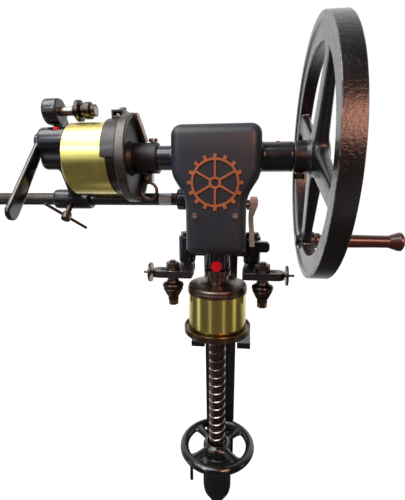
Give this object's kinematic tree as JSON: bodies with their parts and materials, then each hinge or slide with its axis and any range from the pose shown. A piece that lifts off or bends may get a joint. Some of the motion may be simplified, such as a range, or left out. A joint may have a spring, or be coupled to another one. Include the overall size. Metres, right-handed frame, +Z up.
{
  "type": "hand can seaming machine",
  "caption": "Bench-mounted hand-cranked can seamer with flywheel, geared spindle, seaming rollers, lifting table and a side trimming station.",
  "frame": {"origin": "middle of the bench face under the mounting flange", "axes": "+X along the crank shaft towards the flywheel, +Y away from the operator, +Z up along the seaming spindle"},
  "size_m": [0.744, 0.3755, 0.8395],
  "materials": {
    "black_casting": "semi-gloss black enamel over cast iron, rubbed at the edges",
    "wheel_paint": "semi-gloss black enamel over cast iron",
    "handwheel_paint": "gloss black enamel",
    "copper_relief": "copper paint on a raised relief",
    "bare_steel": "bare worked steel, slightly oiled",
    "worked_steel": "turned steel, browned with oil and age",
    "lever_black": "black enamel, handled smooth",
    "bronze": "turned bearing bronze",
    "gold_lacquer": "gold lacquered tinplate",
    "grip_wood": "turned hardwood, red-brown lacquer",
    "oil_red": "signal red lubrication cap"
  },
  "bodies": {
    "frame": {"front_cover": "black_casting", "cover_screws": "bare_steel", "emblem": "copper_relief", "gear_housing": "black_casting", "shaft_bushes": "bronze", "spindle_bush": "bronze", "oil_caps": "oil_red", "column": "black_casting", "column_bolts": "bare_steel", "bench_flange": "black_casting", "screw_bracket": "black_casting", "arm_pivot_pins": "bare_steel", "lever_pivot_bolt": "bare_steel", "side_bar": "black_casting", "trim_head": "worked_steel", "guard_segment": "worked_steel", "tool_block": "worked_steel", "stay_plate": "bare_steel", "trim_head_bolts": "bare_steel"},
    "crank": {"main_shaft": "bare_steel", "flywheel": "wheel_paint", "flywheel_set_bolt": "bare_steel", "crank_pin": "bare_steel", "crown_gear": "worked_steel", "drive_disc": "worked_steel", "side_can": "gold_lacquer"},
    "grip": {"crank_grip": "grip_wood"},
    "spindle": {"spindle": "bare_steel", "spindle_pinion": "worked_steel", "spindle_collar": "worked_steel", "seaming_chuck": "worked_steel"},
    "lift": {"lift_screw": "worked_steel", "thrust_washer": "worked_steel"},
    "table": {"lifter_plate": "worked_steel", "lower_can": "gold_lacquer"},
    "handwheel": {"handwheel": "handwheel_paint", "lift_nut": "handwheel_paint"},
    "screw_lock": {"screw_lock": "worked_steel"},
    "seam_lever": {"seam_lever": "bare_steel", "seam_lever_grip": "lever_black"},
    "left_arm": {"left_arm": "black_casting", "left_roller_bolt": "bare_steel"},
    "left_roller": {"left_roller": "worked_steel"},
    "left_adjuster": {"left_adjuster": "worked_steel"},
    "right_arm": {"right_arm": "black_casting", "right_roller_bolt": "bare_steel"},
    "right_roller": {"right_roller": "worked_steel"},
    "right_adjuster": {"right_adjuster": "worked_steel"},
    "tailstock": {"tailstock": "black_casting", "tail_oil_cap": "oil_red", "tool_arm_pin": "bare_steel"},
    "tail_clamp": {"tail_clamp_screw": "worked_steel"},
    "tail_centre": {"tail_centre": "worked_steel"},
    "tail_lever": {"tail_lever": "lever_black", "lever_shaft": "bare_steel"},
    "tool_arm": {"tool_arm": "black_casting", "tool_shaft": "bare_steel"},
    "tool_roller": {"tool_roller": "worked_steel"},
    "trip_loop": {"trip_loop": "bare_steel"}
  },
  "joints": [
    {"name": "crank_turn", "type": "hinge", "parent": "frame", "child": "crank", "pos_m": [0, -0.152, 0.375], "axis": [1, 0, 0], "continuous": true},
    {"name": "grip_spin", "type": "hinge", "parent": "crank", "child": "grip", "pos_m": [0.24, -0.08814, 0.23157], "axis": [1, 0, 0], "continuous": true},
    {"name": "spindle_turn", "type": "hinge", "parent": "frame", "child": "spindle", "pos_m": [0, -0.152, 0.2], "axis": [0, 0, 1], "continuous": true},
    {"name": "handwheel_turn", "type": "hinge", "parent": "frame", "child": "handwheel", "pos_m": [0, -0.152, -0.155], "axis": [0, 0, 1], "range_deg": [0, 1012.5]},
    {"name": "lift_slide", "type": "slide", "parent": "frame", "child": "lift", "axis": [0, 0, 1], "range_m": [-0.045, 0]},
    {"name": "table_spin", "type": "hinge", "parent": "lift", "child": "table", "pos_m": [0, -0.152, 0.083], "axis": [0, 0, 1], "continuous": true},
    {"name": "lock_turn", "type": "hinge", "parent": "frame", "child": "screw_lock", "pos_m": [-0.04, -0.116, -0.232], "axis": [1, 0, 0], "range_deg": [-180, 180]},
    {"name": "seam_lever_swing", "type": "hinge", "parent": "frame", "child": "seam_lever", "pos_m": [0.055, -0.147, 0.3], "axis": [1, 0, 0], "range_deg": [-30, 4]},
    {"name": "right_arm_swing", "type": "hinge", "parent": "frame", "child": "right_arm", "pos_m": [0.058, -0.114, 0.185], "axis": [0, 0, 1], "range_deg": [-9, 1.2]},
    {"name": "left_arm_swing", "type": "hinge", "parent": "frame", "child": "left_arm", "pos_m": [-0.058, -0.114, 0.185], "axis": [0, 0, 1], "range_deg": [-1.2, 9]},
    {"name": "right_roller_spin", "type": "hinge", "parent": "right_arm", "child": "right_roller", "pos_m": [0.076, -0.158, 0.155], "axis": [0, 0, 1], "continuous": true},
    {"name": "left_roller_spin", "type": "hinge", "parent": "left_arm", "child": "left_roller", "pos_m": [-0.076, -0.158, 0.155], "axis": [0, 0, 1], "continuous": true},
    {"name": "right_adjust", "type": "hinge", "parent": "right_arm", "child": "right_adjuster", "pos_m": [0.115, -0.158, 0.185], "axis": [1, 0, 0], "range_deg": [-180, 180]},
    {"name": "left_adjust", "type": "hinge", "parent": "left_arm", "child": "left_adjuster", "pos_m": [-0.115, -0.158, 0.185], "axis": [1, 0, 0], "range_deg": [-180, 180]},
    {"name": "tail_slide", "type": "slide", "parent": "frame", "child": "tailstock", "axis": [1, 0, 0], "range_m": [-0.1, 0]},
    {"name": "tail_clamp_turn", "type": "hinge", "parent": "tailstock", "child": "tail_clamp", "pos_m": [-0.272, -0.107, 0.306], "axis": [0, -0.7071, -0.7071], "range_deg": [-180, 180]},
    {"name": "tail_centre_spin", "type": "hinge", "parent": "tailstock", "child": "tail_centre", "pos_m": [-0.26, -0.152, 0.375], "axis": [1, 0, 0], "continuous": true},
    {"name": "tail_lever_swing", "type": "hinge", "parent": "tailstock", "child": "tail_lever", "pos_m": [-0.29, -0.152, 0.403], "axis": [1, 0, 0], "range_deg": [-60, 12.5]},
    {"name": "tool_arm_swing", "type": "hinge", "parent": "tailstock", "child": "tool_arm", "pos_m": [-0.273, -0.102, 0.415], "axis": [1, 0, 0], "range_deg": [-12, 2.5]},
    {"name": "tool_roller_spin", "type": "hinge", "parent": "tool_arm", "child": "tool_roller", "pos_m": [-0.22, -0.144, 0.452], "axis": [1, 0, 0], "continuous": true},
    {"name": "trip_swing", "type": "hinge", "parent": "frame", "child": "trip_loop", "pos_m": [-0.1115, -0.162, 0.343], "axis": [0, 1, 0], "range_deg": [-20, 20]}
  ],
  "couplings": [
    {"joint": "spindle_turn", "follows": "crank_turn", "ratio": 2},
    {"joint": "table_spin", "follows": "crank_turn", "ratio": 2},
    {"joint": "tail_centre_spin", "follows": "crank_turn", "ratio": 1},
    {"joint": "lift_slide", "follows": "handwheel_turn", "m_per_rad": -0.0025465},
    {"joint": "right_arm_swing", "follows": "seam_lever_swing", "ratio": 0.3},
    {"joint": "left_arm_swing", "follows": "seam_lever_swing", "ratio": -0.3},
    {"joint": "tool_arm_swing", "follows": "tail_lever_swing", "ratio": 0.2}
  ]
}
